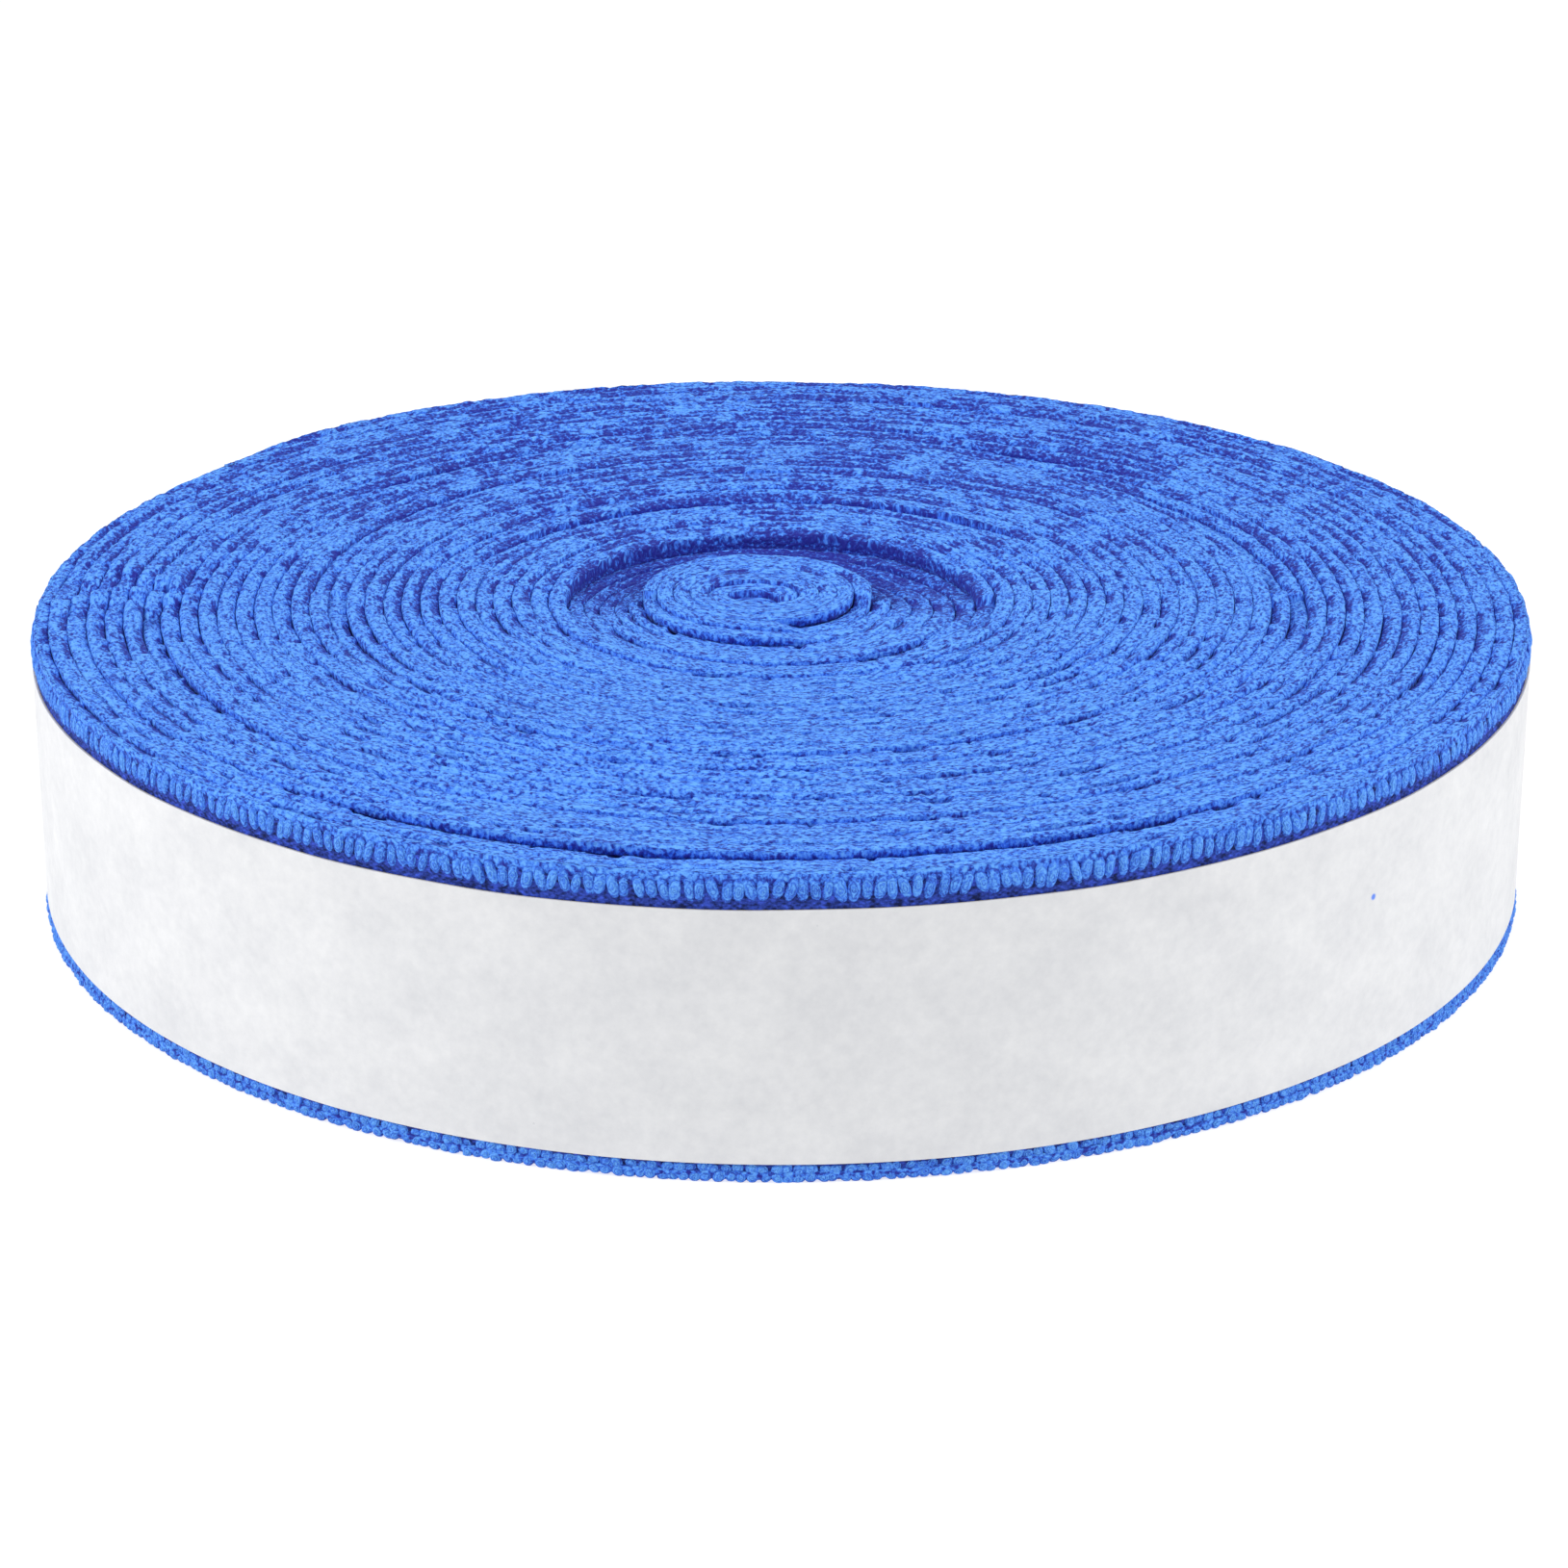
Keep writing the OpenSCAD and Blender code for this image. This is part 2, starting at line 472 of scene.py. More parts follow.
def loop_pile_group():
    """Tangled yarn loops: their relief, and how deep a place lies between them."""
    group, given, out = new_group(
        "Yarn Loops",
        [("Place", "NodeSocketVector", None), ("Loop Size", "NodeSocketFloat", 0.42),
         ("Stretch", "NodeSocketFloat", 1.0)],
        [("Height", "NodeSocketFloat"), ("Tangle", "NodeSocketFloat"), ("Strand", "NodeSocketFloat")])
    inverse = math_node(group, "DIVIDE", 1.0, given.outputs["Loop Size"])
    scaled = add(
        group, "ShaderNodeVectorMath", {0: given.outputs["Place"], "Scale": inverse}, operation="SCALE")
    shape = add(group, "ShaderNodeCombineXYZ", {"X": given.outputs["Stretch"], "Y": 1.0, "Z": 1.0})
    place = vector_node(group, "MULTIPLY", scaled.outputs[0], shape.outputs[0])
    warp = noise(group, place, 0.9, 1.0)
    centred = vector_node(group, "SUBTRACT", warp.outputs["Color"], (0.5, 0.5, 0.5))
    bent = vector_node(group, "MULTIPLY_ADD", centred, (1.1, 1.1, 1.1), place)
    cells = add(
        group, "ShaderNodeTexVoronoi", {"Vector": bent, "Scale": 1.0, "Randomness": 0.9},
        feature="F1", voronoi_dimensions="3D")
    height = math_node(group, "SUBTRACT", 1.05, cells.outputs["Distance"], clamp=True)
    group.links.new(height, out.inputs["Height"])
    group.links.new(noise(group, place, 0.55, 2.0, 0.55).outputs["Fac"], out.inputs["Tangle"])
    group.links.new(noise(group, place, 1.15, 2.0, 0.6).outputs["Fac"], out.inputs["Strand"])
    return group


def mottle_group():
    """Clouds, fine fibre grain and scattered specks of a thin sheet."""
    group, given, out = new_group(
        "Sheet Mottle",
        [("Place", "NodeSocketVector", None), ("Cloud Size", "NodeSocketFloat", 6.0),
         ("Speck Size", "NodeSocketFloat", 3.0)],
        [("Cloud", "NodeSocketFloat"), ("Fibre", "NodeSocketFloat"), ("Speck", "NodeSocketFloat")])
    cloud_scale = math_node(group, "DIVIDE", 1.0, given.outputs["Cloud Size"])
    speck_scale = math_node(group, "DIVIDE", 1.0, given.outputs["Speck Size"])
    flat = vector_node(group, "MULTIPLY", given.outputs["Place"], (0.5, 1.0, 1.6))
    cells = add(
        group, "ShaderNodeTexVoronoi",
        {"Vector": given.outputs["Place"], "Scale": speck_scale, "Randomness": 1.0}, feature="F1")
    cloud = noise(group, given.outputs["Place"], cloud_scale, 5.0, 0.62)
    group.links.new(cloud.outputs["Fac"], out.inputs["Cloud"])
    group.links.new(noise(group, flat, 2.6, 3.0, 0.7).outputs["Fac"], out.inputs["Fibre"])
    group.links.new(fade(group, cells.outputs["Distance"], 0.012, 0.032, 1.0), out.inputs["Speck"])
    return group


def vertex_value(tree, name):
    return add(tree, "ShaderNodeAttribute", attribute_name=name, attribute_type="GEOMETRY")


def bump(tree, height, strength, distance, normal=None):
    item = add(tree, "ShaderNodeBump", {"Height": height, "Strength": strength, "Distance": distance})
    if normal is not None:
        tree.links.new(normal, item.inputs["Normal"])
    return item.outputs["Normal"]


def yarn_colour(tree, factor, colours, shade_at, body_at):
    """Colour ramp from painted shade at the foot of the loops over the yarn's own blue to a painted highlight at
    their tips.
    """
    half_shade = tuple(0.65 * a + 0.35 * b for a, b in zip(colours.yarn_shade, colours.yarn))
    return ramp(tree, factor, [
        (0.0, colours.yarn_shade), (shade_at, half_shade), (body_at, colours.yarn), (1.0, colours.yarn_highlight)])


def terry_material(colours):
    """Blue loop pile: painted highlight on the loop tips over painted shade in deep navy gaps, with random tone."""
    material, tree, shader = new_material("terry_pile_yarn")
    place = vertex_value(tree, "tape").outputs["Vector"]
    # The pile level holds painted shade in the gaps and hollows and painted highlight on raised loops
    level = vertex_value(tree, "pile").outputs["Fac"]
    loops = use_group(tree, "Yarn Loops", {"Place": place, "Loop Size": 0.44, "Stretch": 0.75})
    # Painted light and shade: the loops' height brightens their tops and darkens the cells between them
    loop_light = math_node(tree, "MULTIPLY_ADD", loops.outputs["Height"], 0.40, -0.22)
    worn = math_node(tree, "MULTIPLY_ADD", loops.outputs["Tangle"], 0.6, -0.30)
    strand = math_node(tree, "MULTIPLY_ADD", loops.outputs["Strand"], 3.2, -1.58)
    mixed = math_node(tree, "ADD", math_node(tree, "ADD", loop_light, worn), strand)
    factor = math_node(tree, "ADD", level, mixed, clamp=True)
    tree.links.new(yarn_colour(tree, factor, colours, 0.32, 0.55), shader.inputs["Base Color"])
    relief = math_node(tree, "MULTIPLY_ADD", loops.outputs["Strand"], 1.2, loops.outputs["Height"])
    tree.links.new(bump(tree, relief, 1.0, 0.16 * MM), shader.inputs["Normal"])
    shader.inputs["Roughness"].default_value = 0.85
    shader.inputs["Specular IOR Level"].default_value = 0.25
    shader.inputs["Sheen Weight"].default_value = 0.12
    shader.inputs["Sheen Roughness"].default_value = 0.5
    shader.inputs["Sheen Tint"].default_value = (0.35, 0.6, 1.0, 1.0)
    return material


def edge_yarn_material(colours):
    """Fat loops of parallel yarn strands along the cloth's outer edges, with painted shade round each loop's outline
    and painted light towards its top.
    """
    material, tree, shader = new_material("edge_loop_yarn")
    yarn = vertex_value(tree, "yarn").outputs["Vector"]
    tuft = vertex_value(tree, "tuft").outputs["Fac"]
    place = vertex_value(tree, "tape").outputs["Vector"]
    split = add(tree, "ShaderNodeSeparateXYZ", {"Vector": yarn})
    grain = use_group(tree, "Yarn Loops", {"Place": place, "Loop Size": 0.3, "Stretch": 1.0})
    front = add(tree, "ShaderNodeCombineXYZ", {"X": split.outputs["X"], "Y": 0.0, "Z": split.outputs["Z"]})
    radius = add(tree, "ShaderNodeVectorMath", {0: front.outputs[0]}, operation="LENGTH").outputs["Value"]
    wander = math_node(tree, "MULTIPLY_ADD", grain.outputs["Tangle"], 1.1, radius)
    start = math_node(tree, "MULTIPLY", tuft, 9.0)
    strands = math_node(tree, "SINE", math_node(tree, "MULTIPLY_ADD", wander, 15.0, start))
    ridge = math_node(tree, "MULTIPLY_ADD", strands, 0.5, 0.5)
    # Painted shade darkens each loop towards its outline, where the loops meet, and painted light brightens it
    # towards its top
    rim_shade = math_node(tree, "MULTIPLY_ADD", math_node(tree, "POWER", radius, 4.0), -0.50, 0.52)
    rim_shade_top_light = math_node(tree, "ADD", rim_shade, math_node(tree, "MULTIPLY", split.outputs["Z"], 0.08))
    lit = math_node(tree, "MULTIPLY_ADD", ridge, 0.36, rim_shade_top_light)
    speckle = math_node(tree, "MULTIPLY_ADD", grain.outputs["Strand"], 1.2, -0.62)
    factor = math_node(tree, "ADD", lit, math_node(tree, "MULTIPLY_ADD", tuft, 0.20, speckle), clamp=True)
    tree.links.new(yarn_colour(tree, factor, colours, 0.30, 0.58), shader.inputs["Base Color"])
    relief = math_node(tree, "MULTIPLY_ADD", grain.outputs["Strand"], 0.5, ridge)
    tree.links.new(bump(tree, relief, 0.9, 0.10 * MM), shader.inputs["Normal"])
    shader.inputs["Roughness"].default_value = 0.8
    shader.inputs["Specular IOR Level"].default_value = 0.3
    return material


def weave_material(colours):
    """Plain woven ground under the pile."""
    material, tree, shader = new_material("ground_weave_cloth")
    place = vertex_value(tree, "tape").outputs["Vector"]
    split = add(tree, "ShaderNodeSeparateXYZ", {"Vector": place})
    warp = math_node(tree, "SINE", math_node(tree, "MULTIPLY", split.outputs["X"], 8.0))
    weft = math_node(tree, "SINE", math_node(tree, "MULTIPLY", split.outputs["Z"], 14.0))
    checker = math_node(tree, "MULTIPLY", warp, weft)
    mottle = use_group(tree, "Sheet Mottle", {"Place": place, "Cloud Size": 0.8, "Speck Size": 3.0})
    cloud = math_node(tree, "MULTIPLY_ADD", mottle.outputs["Cloud"], 2.2, -1.25)
    worn = math_node(tree, "MULTIPLY_ADD", mottle.outputs["Fibre"], 1.2, cloud)
    factor = math_node(tree, "MULTIPLY_ADD", checker, 0.10, worn, clamp=True)
    dark = tuple(0.22 * c for c in colours.weave)
    bright = tuple(min(1.0, 2.2 * c) for c in colours.weave)
    colour = ramp(tree, factor, [(0.15, dark), (0.5, colours.weave), (0.95, bright)])
    tree.links.new(colour, shader.inputs["Base Color"])
    relief = math_node(tree, "MULTIPLY_ADD", mottle.outputs["Fibre"], 1.2, math_node(tree, "MULTIPLY", checker, 0.3))
    tree.links.new(bump(tree, relief, 0.9, 0.14 * MM), shader.inputs["Normal"])
    shader.inputs["Roughness"].default_value = 0.9
    shader.inputs["Specular IOR Level"].default_value = 0.2
    return material


def paper_material(colours):
    """White release paper with faint clouds, fibre grain and specks."""
    material, tree, shader = new_material("release_paper_face")
    place = vertex_value(tree, "tape").outputs["Vector"]
    mottle = use_group(tree, "Sheet Mottle", {"Place": place, "Cloud Size": 7.0, "Speck Size": 4.5})
    fine = use_group(tree, "Sheet Mottle", {"Place": place, "Cloud Size": 1.1, "Speck Size": 9.0})
    cloud = math_node(tree, "MULTIPLY_ADD", mottle.outputs["Cloud"], 1.7, -0.85)
    grain = math_node(tree, "MULTIPLY_ADD", fine.outputs["Cloud"], 1.3, -0.15)
    factor = math_node(tree, "ADD", cloud, grain, clamp=True)
    base = mix_colour(tree, factor, colours.paper, colours.paper_cloud)
    specks = math_node(tree, "MULTIPLY", mottle.outputs["Speck"], 0.35)
    fleck = add(tree, "ShaderNodeVectorMath", {0: place, 1: STRAY_YARN}, operation="DISTANCE")
    stray = fade(tree, fleck.outputs["Value"], 0.22, 0.40, 0.9)
    colour = mix_colour(tree, specks, base, (0.40, 0.42, 0.46))
    colour = mix_colour(tree, stray, colour, colours.yarn)
    tree.links.new(colour, shader.inputs["Base Color"])
    rough = math_node(tree, "MULTIPLY_ADD", fine.outputs["Fibre"], 0.2, 0.5)
    tree.links.new(rough, shader.inputs["Roughness"])
    relief = math_node(tree, "MULTIPLY_ADD", mottle.outputs["Cloud"], 1.5, fine.outputs["Fibre"])
    tree.links.new(bump(tree, relief, 0.25, 0.05 * MM), shader.inputs["Normal"])
    shader.inputs["Specular IOR Level"].default_value = 0.3
    return material


def adhesive_material(colours):
    """Tacky amber coat that shows where the release paper is peeled."""
    material, tree, shader = new_material("tacky_adhesive_coat")
    place = vertex_value(tree, "tape").outputs["Vector"]
    mottle = use_group(tree, "Sheet Mottle", {"Place": place, "Cloud Size": 3.0, "Speck Size": 5.0})
    dark = tuple(0.75 * c for c in colours.adhesive)
    colour = mix_colour(tree, mottle.outputs["Cloud"], colours.adhesive, dark)
    rough = math_node(tree, "MULTIPLY_ADD", mottle.outputs["Fibre"], 0.3, 0.12)
    tree.links.new(colour, shader.inputs["Base Color"])
    tree.links.new(rough, shader.inputs["Roughness"])
    tree.links.new(bump(tree, mottle.outputs["Cloud"], 0.5, 0.08 * MM), shader.inputs["Normal"])
    return material


def floor_material():
    """Plain pale studio floor."""
    material, tree, shader = new_material("studio_floor")
    place = add(tree, "ShaderNodeTexCoord").outputs["Object"]
    grain = add(tree, "ShaderNodeTexNoise", {"Vector": place, "Scale": 3.0, "Detail": 2.0})
    colour = mix_colour(tree, grain.outputs["Fac"], (0.39, 0.39, 0.39), (0.41, 0.41, 0.41))
    tree.links.new(colour, shader.inputs["Base Color"])
    shader.inputs["Roughness"].default_value = 0.9
    shader.inputs["Specular IOR Level"].default_value = 0.1
    shader.inputs["Emission Color"].default_value = (1, 1, 1, 1)
    shader.inputs["Emission Strength"].default_value = 0.72
    return material


# ---------------------------------------------------------------- terry cloth

# Cross-section of the terry, from the pile's face over the top edge to the ground and under the bottom edge:
# place across the turn, height against the edge, and share of the loops' unevenness
TOP_EDGE = (
    (0.00, -2.60, 0.1), (0.00, -1.20, 0.3), (0.04, -0.85, 0.6), (0.15, -0.62, 0.8), (0.35, -0.45, 1.0),
    (0.58, -0.31, 1.0), (0.82, -0.18, 1.0), (1.06, -0.08, 1.0), (1.30, 0.00, 1.0), (1.50, -0.02, 1.0),
    (1.68, -0.10, 1.0), (1.82, -0.24, 1.0), (1.92, -0.50, 0.7), (1.88, -1.10, 0.3), (1.24, -1.30, 0.0))
BOTTOM_EDGE = (
    (1.19, 1.12, 0.0), (1.80, 1.05, 0.3), (1.84, 0.60, 0.7), (1.60, 0.22, 0.9), (1.20, 0.06, 1.0),
    (0.72, 0.06, 1.0), (0.25, 0.35, 0.8), (0.00, 1.30, 0.3))
# Gaps in the pile lie on its inner slope, from the turn's inner face to this place across it,
# and reach this much further behind, where the far slope faces the viewer
PIT_REACH = 0.92
PIT_REACH_BACK = 0.40
# How far full pile fills the inner slope, how far the outermost turn stands back behind its fat
# loops, and the furthest place across a turn that its pile reaches
SLOPE_FILL = 0.36
EDGE_BACK = 0.42
WIDEST = 2.04
# Depth below the edge down to which the pile's unevenness counts as its top
LIP_DEPTH = 1.0
# Radius of the raised plug at the core, and outer radius of the sunken turns round it
PLUG_R, MOAT_R = 11.5, 21.4
# Patch of ruffled pile: place across the roll, radius and height
RUFFLE_X, RUFFLE_R, RUFFLE_HEIGHT = -67.0, 8.5, 1.5
# Sizes of the pile's unevenness, in millimetres
LOOP_SIZE, LOOP_CELL, CLUMP_SIZE = 0.42, 0.36, 1.3
GAP_SIZE, GAP_GROUP, GAP_CELL, GAP_FIELD = 1.7, 4.6, 0.72, 5.5
MERGE_SIZE, RUFFLE_SIZE = 11, 2.3
REACH_SIZE, SPREAD_SIZE, LEAN_SIZE = 0.9, 2.1, 2.8


def terry_outline(face_rows=0):
    """Outline points as (across, height) with each point's share of unevenness and its edge."""
    points = [(u, CLOTH_TOP + dz, share, 1.0) for u, dz, share in TOP_EDGE]
    points += [(u, z, share, 0.0) for u, z, share in BOTTOM_EDGE]
    low, high = BOTTOM_EDGE[-1][1], CLOTH_TOP + TOP_EDGE[0][1]
    for row in range(1, face_rows + 1):
        share = row / (face_rows + 1)
        points.append((0.0, low + (high - low) * share, 1.0, share))
    return points


def loop_bumps(s, around, relief):
    """Heights of single loops and of clumps of them, in millimetres."""
    loops = 0.5 * field(s / LOOP_SIZE, around * 0.7, 21) + 0.5 * cell_value(np.round(s / LOOP_CELL), around, 22)
    loops = (loops - 0.5) * 2 * relief.loop_height / MM
    clumps = (field(s / CLUMP_SIZE, around * 0.25, 23) - 0.5) * 2 * relief.clump_height / MM
    return loops, clumps


def open_pile(s, x, y, back, radius, relief):
    """How bare the pile is, from 0 to 1. Gaps gather in groups, and there are more of them behind."""
    sparse = (
        0.50 * field(s / GAP_SIZE, 3.0, 24) + 0.25 * field(s / GAP_GROUP, 5.0, 25)
        + 0.12 * cell_value(np.round(s / GAP_CELL), s * 0, 31))
    sparse = sparse + 0.36 * field(x / GAP_FIELD, y / GAP_FIELD, 26)
    opening = relief.pit_start - 0.11 * back + 0.25 * (radius < PLUG_R)
    return smooth((sparse - opening) / 0.07 + 0.5)


def ruffled_pile(x, y):
    """Unevenness of the ruffled patch, from -0.5 to 0.5, and 0 away from it."""
    near = smooth(1.5 - np.hypot(x - RUFFLE_X, y) / RUFFLE_R)
    return near * (field(x / RUFFLE_SIZE, y / RUFFLE_SIZE, 35) - 0.5)


def lay_terry(obj, outline, start, relief, step_in=0.0):
    """Gives flat terry its loops, gaps and settled height, and winds it."""
    flat = get_points(obj) / MM
    stations = len(flat) // len(outline)
    u, z, share, side = np.tile(np.array(outline), (stations, 1)).T
    around = np.tile(np.arange(len(outline)), stations)
    s = start + flat[:, 0]
    _, angle, radius = turn_place(s)
    back = np.sin(angle)
    x, y = radius * np.cos(angle), radius * back
    top = side == 1
    face = (side > 0) & (side < 1)
    depth = CLOTH_TOP - z
    lip = top * (depth < LIP_DEPTH)

    loops, clumps = loop_bumps(s, around, relief)
    bumps = (loops + clumps) * share
    bare = open_pile(s, x, y, back, radius, relief) * top
    ruffle = ruffled_pile(x, y) * top
    merged = smooth((field(x / MERGE_SIZE, y / MERGE_SIZE, 33) - 0.10) / 0.30)
    reach = PIT_REACH + PIT_REACH_BACK * smooth(back * 1.2) + 0.35 * (field(s / REACH_SIZE, 9.0, 27) - 0.5)
    slope = smooth((reach - u) / 0.30)

    # Full pile fills the slope, merged turns stand flush, and gaps are sunk into it
    fill = (1 - bare) * np.clip(1 - ((u - 0.26) / 0.52) ** 2, 0, 1) * lip
    raised = np.maximum(fill * SLOPE_FILL, 0.85 * depth * merged * (1 - 0.5 * bare) * lip)
    raised = raised - bare * slope * relief.pit_depth / MM + RUFFLE_HEIGHT * ruffle * lip
    z_new = np.where(face, z, z + bumps * np.where(top, 1.0, 0.6) + raised)
    z_new = np.maximum(z_new, 0.0)

    # Across the turn the pile leans to and fro, and the outermost turn stands back
    spread = 0.12 * (field(s / SPREAD_SIZE, 2.0, 29) - 0.5) - EDGE_BACK * (s > FREE_START)
    spread = spread * smooth((u - 1.1) / 0.6) * top
    lean = 0.14 * (field(s / LEAN_SIZE, 1.0, 30) - 0.5) * top * (u > 0.2) * (u < 1.7)
    inner = np.clip(1 - u / 1.1, 0, 1)
    u_new = u + step_in * inner + lean + spread - np.where(face, bumps, 0.0)
    u_new = u_new + 0.45 * loops * share * top * (u > 0.1)
    u_new = np.clip(u_new, step_in - 0.06, WIDEST)

    # Colour level of the yarn, from painted shade at the foot of the loops at 0 to a painted highlight on their tips
    # at 1: the gaps, the deeper pile and the sunken ring behind the plug get painted shade, raised loops and clumps
    # get painted light, and the ruffled patch gets random tone
    # Painted shade: the sunken turns round the plug are darkened, on the far half only
    moat_shade = far_side(angle) * (radius > PLUG_R) * (radius < MOAT_R)
    level = 0.67 - 0.52 * bare * slope - 0.55 * smooth((depth - 0.5) / 0.8) + 1.2 * loops + 0.8 * clumps
    level = level - 0.42 * moat_shade + 0.5 * ruffle
    level = np.where(top, level, 0.45 + loops + clumps)
    set_values(obj, "tape", np.stack((s, u, z), axis=-1))
    set_values(obj, "pile", np.clip(level, 0.0, 1.0))
    set_points(obj, wind(s, u_new, z_new, pile_height(s, relief.turn_step / MM)) * MM)


# Rows of fat loops on the outermost edges, in millimetres: name, half sizes along, across and up,
# place across the turn, height, and spacing as a share of the loop step
TUFT_ROWS = (
    ("top", (0.66, 0.36, 1.16), 1.52, CLOTH_TOP - 1.62, 1.0),
    ("low", (0.66, 0.42, 0.60), 1.60, 0.50, 0.92),
    ("mid", (0.72, 0.36, 0.66), 1.50, 1.28, 0.98))
TUFT_SEED_STEP = 40


def tuft_row(name, start, end, step, size, across, height, seed, relief):
    """A row of fat yarn loops: one rounded loop, repeated along the edge and then varied one by one."""
    deselect_all()
    count = max(2, round((end - start) / step))
    pace = (end - start) / count
    bpy.ops.mesh.primitive_uv_sphere_add(segments=8, ring_count=6, radius=MM, location=(0, 0, 0))
    obj = bpy.context.object
    obj.name = obj.data.name = name
    bpy.ops.object.mode_set(mode="EDIT")
    bpy.ops.mesh.select_all(action="SELECT")
    bpy.ops.transform.resize(value=size)
    bpy.ops.object.mode_set(mode="OBJECT")
    one = len(obj.data.vertices)
    repeat_along(obj, pace * MM, count, merge=False)
    points = get_points(obj) / MM
    index = np.repeat(np.arange(count), one)
    local = points - np.stack((index * pace, 0 * index, 0 * index), axis=-1)
    unit = local / np.array(size)
    rnd = [cell_value(index, index * 0, seed + i) for i in range(7)]
    grow = 0.80 + 0.24 * rnd[0]
    x = local[:, 0] * grow * (1 - 0.12 * unit[:, 2] + 0.7 * np.clip(unit[:, 2], 0, 1) ** 2)
    y = local[:, 1] * (0.9 + 0.25 * rnd[1])
    z = local[:, 2] * (0.88 + 0.24 * rnd[2])
    y = y - 0.04 * (unit[:, 2] + 1) ** 2
    x = x + z * (rnd[3] - 0.5) * 0.6
    s = start + (index + 0.5) * pace + x + (rnd[4] - 0.5) * pace * 0.35
    u = across + y + (rnd[5] - 0.5) * 0.16
    z = np.maximum(height + z + (rnd[6] - 0.5) * 0.26, 0.02)
    set_values(obj, "tape", np.stack((s, u, z), axis=-1))
    set_values(obj, "yarn", unit)
    set_values(obj, "tuft", rnd[1])
    # Colour level for painted light: brighter towards each loop's top
    set_values(obj, "pile", 0.5 + 0.4 * unit[:, 2])
    set_points(obj, wind(s, u, z, pile_height(start + (index + 0.5) * pace, relief.turn_step / MM)) * MM)
    return obj


def edge_tufts(name, start, end, step, relief, seed):
    """The fat loops at the top edge and the two rows at the bottom edge of a length of tape."""
    rows = [
        tuft_row(f"{name}_{row}", start, end, step * share, size, across, height,
                 seed + TUFT_SEED_STEP * number, relief)
        for number, (row, size, across, height, share) in enumerate(TUFT_ROWS)]
    return join_into(rows[0], rows[1:])


def plain_strip(name, places, edges, start, end, step, relief):
    """A thin flat layer of the tape, wound."""
    (inner, outer), (low, high) = places, edges
    outline = [(inner, low), (outer, low), (outer, high), (inner, high)]
    obj = flat_strip(name, outline, start, end, step)
    flat = get_points(obj) / MM
    s, u, z = start + flat[:, 0], flat[:, 1], flat[:, 2]
    set_values(obj, "tape", np.stack((s, u, z), axis=-1))
    set_points(obj, wind(s, u, z, top_height(s, relief.turn_step / MM)) * MM)
    return obj


def settings():
    return bpy.context.scene.grip_tape


# The tape's plain layers: name, radial place, edges, material, slot and the wound node that each replaces
Layer = namedtuple("Layer", "name places edges material slot node")
LAYERS = (
    Layer("ground", WEAVE, WEAVE_EDGES, "ground_weave_cloth", "ground_weave", "roll_weave"),
    Layer("adhesive", GLUE, PAPER_EDGES, "tacky_adhesive_coat", "adhesive", "roll_adhesive"),
    Layer("paper", PAPER, PAPER_EDGES, "release_paper_face", "release_paper", "roll_liner"))
# Free end: rows of points down its terry's face, how far that face stands back from the turn
# below it, and the spacing of the plain layers' stations, the last two in millimetres
FACE_ROWS = 60
FREE_CLEAR = 0.16
FREE_STEP = 0.5
# Creases of the plain layers sharper than this stay sharp, in degrees
SHARP_EDGE = 40
EDGE_SEED = 301


def bend_at(obj):
    """Bakes the piece's placement into its mesh."""
    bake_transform(obj)


def add_layer(name, layer, turns, node):
    """A length of a plain layer on the free end, which hides the part that it replaces."""
    start, end = (along(LAST_HALF, turn) for turn in turns)
    obj = plain_strip(name, layer.places, layer.edges, start, end, FREE_STEP, settings().relief)
    smooth_faces(obj, SHARP_EDGE)
    finish_piece(obj, bpy.data.materials[layer.material])
    bend_at(obj)
    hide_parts(node)


# Place along, across and up the tape of a stray fleck of yarn that sticks to the release paper
STRAY_YARN = (along(LAST_HALF - 1, 136.0), PAPER[1], 18.5)
WOUND_END = along(LAST_HALF, TAIL_CUTS[0])
FREE_START = along(LAST_HALF - 2, END_TURN)


# ---------------------------------------------------------------- operators

class GRIPTAPE_OT_finishes(bpy.types.Operator):
    """Make the tape's materials and the shader groups that they share"""

    bl_idname = "griptape.finishes"
    bl_label = "Finishes"

    def execute(self, context):
        colours = settings().colours
        loop_pile_group()
        mottle_group()
        terry_material(colours)
        edge_yarn_material(colours)
        weave_material(colours)
        paper_material(colours)
        adhesive_material(colours)
        floor_material()
        return {"FINISHED"}


class GRIPTAPE_OT_wound_terry(bpy.types.Operator):
    """Wind the terry cloth, in several lengths, with its pile and uneven top"""

    bl_idname = "griptape.wound_terry"
    bl_label = "Wound Terry"

    def execute(self, context):
        sizes, relief = settings().sizes, settings().relief
        outline = terry_outline()
        material = bpy.data.materials["terry_pile_yarn"]
        cuts = np.linspace(0, WOUND_END, sizes.terry_pieces + 1)
        for number, (start, end) in enumerate(zip(cuts[:-1], cuts[1:]), start=1):
            edge = [point[:2] for point in outline]
            obj = flat_strip(f"terry_length_{number}", edge, start, end, sizes.loop_step / MM)
            lay_terry(obj, outline, start, relief)
            smooth_faces(obj)
            finish_piece(obj, material)
            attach(obj, "roll")
            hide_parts("roll_pile")
        return {"FINISHED"}


class GRIPTAPE_OT_wound_layers(bpy.types.Operator):
    """Wind the woven ground, the adhesive coat and the release paper"""

    bl_idname = "griptape.wound_layers"
    bl_label = "Wound Layers"

    def execute(self, context):
        sizes, relief = settings().sizes, settings().relief
        for layer in LAYERS:
            obj = plain_strip(
                f"wound_{layer.name}", layer.places, layer.edges, 0, WOUND_END, sizes.strip_step / MM, relief)
            smooth_faces(obj, SHARP_EDGE)
            finish_piece(obj, bpy.data.materials[layer.material])
            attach(obj, "roll")
            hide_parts(layer.node)
        return {"FINISHED"}


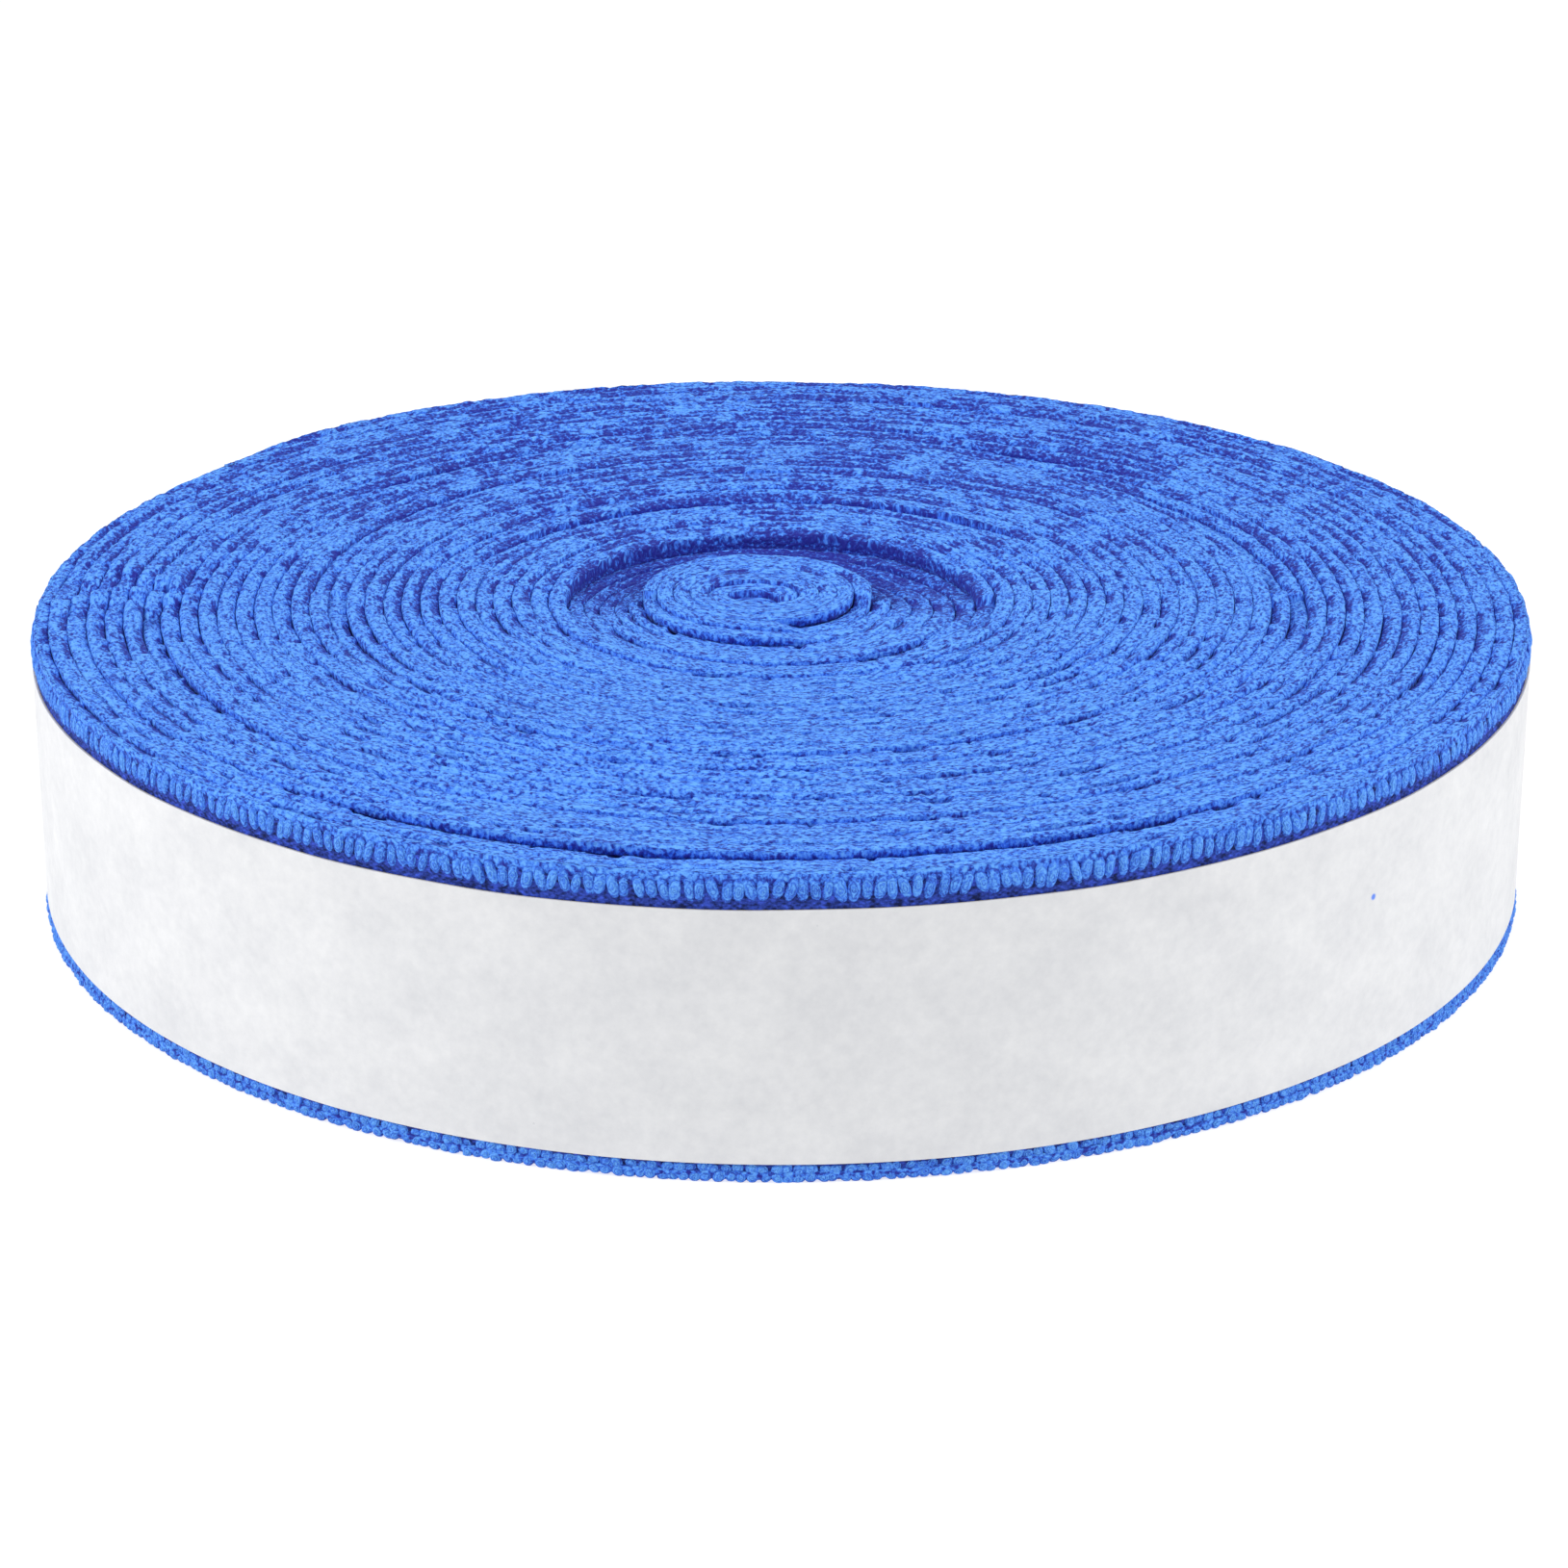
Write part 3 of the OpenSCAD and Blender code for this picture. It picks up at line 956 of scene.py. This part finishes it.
class GRIPTAPE_OT_edge_loops(bpy.types.Operator):
    """Add the fat yarn loops along the outermost turn's edges"""

    bl_idname = "griptape.edge_loops"
    bl_label = "Edge Loops"

    def execute(self, context):
        sizes, relief = settings().sizes, settings().relief
        obj = edge_tufts("edge_loops", FREE_START, WOUND_END, sizes.tuft_step / MM, relief, EDGE_SEED)
        obj.name = obj.data.name = "edge_loops"
        smooth_faces(obj)
        finish_piece(obj, bpy.data.materials["edge_loop_yarn"])
        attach(obj, "roll")
        return {"FINISHED"}


class GRIPTAPE_OT_free_end(bpy.types.Operator):
    """Add the free end of the tape, in one length for each of its joints"""

    bl_idname = "griptape.free_end"
    bl_label = "Free End"

    def execute(self, context):
        for i, joint in enumerate(TAIL_JOINTS, start=1):
            turns = (TAIL_CUTS[i - 1], TAIL_CUTS[i])
            bend = (TAIL_CUTS[i - 1], TAIL_TURNS[i - 1] + LINK_TURN / 2)
            lined = (turns[0], PEEL_CUTS[0]) if i == len(TAIL_JOINTS) else turns
            self.add_terry(i, joint, turns, bend)
            for layer, node in zip(LAYERS, ("tail_weave", "tail_adhesive", "tail_liner")):
                reach = lined if node == "tail_liner" else turns
                add_layer(f"free_{layer.name}_{i}", layer, reach, f"{node}_{i}")
        return {"FINISHED"}

    def add_terry(self, i, joint, turns, bend):
        sizes, relief = settings().sizes, settings().relief
        start, end = (along(LAST_HALF, turn) for turn in turns)
        outline = terry_outline(FACE_ROWS)
        edge = [point[:2] for point in outline]
        obj = flat_strip(f"free_terry_{i}", edge, start, end, sizes.loop_step / MM)
        lay_terry(obj, outline, start, relief, step_in=FREE_CLEAR)
        finish_piece(obj, bpy.data.materials["terry_pile_yarn"])
        tufts = edge_tufts(f"free_loops_{i}", start, end, sizes.tuft_step / MM, relief, EDGE_SEED + i)
        tufts.data.materials.append(bpy.data.materials["edge_loop_yarn"])
        join_into(obj, [tufts])
        smooth_faces(obj)
        bend_at(obj)
        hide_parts(f"tail_pile_{i}")


class GRIPTAPE_OT_peeling_end(bpy.types.Operator):
    """Add the end of the release paper, in three lengths, one for each of its peel joints"""

    bl_idname = "griptape.peeling_end"
    bl_label = "Peeling End"

    def execute(self, context):
        for i, joint in enumerate(PEEL_JOINTS, start=1):
            turns = (PEEL_CUTS[i - 1], PEEL_CUTS[i])
            add_layer(f"peeling_paper_{i}", LAYERS[-1], turns, f"peel_liner_{i}")
        return {"FINISHED"}


class GRIPTAPE_OT_stage(bpy.types.Operator):
    """Add the floor, the soft lights and the camera"""

    bl_idname = "griptape.stage"
    bl_label = "Stage"

    def execute(self, context):
        deselect_all()
        bpy.ops.mesh.primitive_plane_add(size=FLOOR_SIZE, location=(0, 0, 0))
        floor = bpy.context.object
        floor.name = floor.data.name = "studio_floor"
        floor.data.materials.append(bpy.data.materials["studio_floor"])
        scene = context.scene
        world = scene.world or bpy.data.worlds.new("studio")
        scene.world = world
        world.use_nodes = True
        back = world.node_tree.nodes["Background"]
        back.inputs["Color"].default_value = (1, 1, 1, 1)
        back.inputs["Strength"].default_value = WORLD_LIGHT
        for name, place, size, power in SOFT_LIGHTS:
            bpy.ops.object.light_add(type="AREA", location=place)
            light = bpy.context.object
            light.name = name
            light.data.shape = "DISK"
            light.data.size = size
            light.data.energy = power
            light.rotation_euler = (-Vector(place)).to_track_quat("-Z", "Y").to_euler()
        target = Vector(CAMERA_TARGET) * MM
        tilt = math.radians(CAMERA_TILT)
        forward = Vector((0, math.cos(tilt), -math.sin(tilt)))
        bpy.ops.object.camera_add(location=target - forward * CAMERA_DISTANCE * MM)
        camera = bpy.context.object
        camera.name = "studio_camera"
        camera.data.lens = CAMERA_LENS
        camera.data.sensor_width = SENSOR_WIDTH
        camera.data.clip_start = 0.01
        camera.rotation_euler = (math.radians(90 - CAMERA_TILT), 0, 0)
        scene.camera = camera
        scene.view_settings.view_transform = "Standard"
        return {"FINISHED"}


# Camera: what it looks at and from how far, in millimetres, its tilt below level, lens and sensor
CAMERA_TARGET = (0.28, 0.0, 8.45)
CAMERA_DISTANCE = 474.0
CAMERA_TILT = 21.33
CAMERA_LENS = 101.37
SENSOR_WIDTH = 36
# Soft lights: name, place, width in metres, power in watts
SOFT_LIGHTS = (
    ("left_softbox", (-0.75, -0.25, 0.55), 0.7, 5.3),
    ("right_softbox", (0.75, -0.2, 0.6), 0.7, 4.9),
    ("top_softbox", (0.0, 0.1, 0.95), 0.7, 1.6))
WORLD_LIGHT = 0.42
FLOOR_SIZE = 8


class GRIPTAPE_PT_panel(bpy.types.Panel):
    """Lists the steps that build the roll"""

    bl_idname = "GRIPTAPE_PT_panel"
    bl_label = "Grip Tape Roll"
    bl_space_type = "VIEW_3D"
    bl_region_type = "UI"
    bl_category = "Grip Tape"

    def draw(self, context):
        for step in STEPS:
            self.layout.operator(step.bl_idname)
        for group in ("sizes", "relief", "colours"):
            holder = getattr(settings(), group)
            for name in holder.__annotations__:
                self.layout.prop(holder, name)


STEPS = (
    GRIPTAPE_OT_finishes, GRIPTAPE_OT_stage, GRIPTAPE_OT_wound_layers, GRIPTAPE_OT_wound_terry,
    GRIPTAPE_OT_edge_loops, GRIPTAPE_OT_free_end, GRIPTAPE_OT_peeling_end)
CLASSES = (TapeSizes, PileRelief, TapeColours, GripTapeSettings, *STEPS, GRIPTAPE_PT_panel)


def register():
    for item in CLASSES:
        bpy.utils.register_class(item)
    bpy.types.Scene.grip_tape = bpy.props.PointerProperty(type=GripTapeSettings)


def unregister():
    del bpy.types.Scene.grip_tape
    for item in reversed(CLASSES):
        bpy.utils.unregister_class(item)


def main():
    register()
    bpy.ops.griptape.finishes()
    bpy.ops.griptape.stage()
    bpy.ops.griptape.wound_layers()
    bpy.ops.griptape.wound_terry()
    bpy.ops.griptape.edge_loops()
    bpy.ops.griptape.free_end()
    bpy.ops.griptape.peeling_end()


if __name__ == "__main__":
    main()
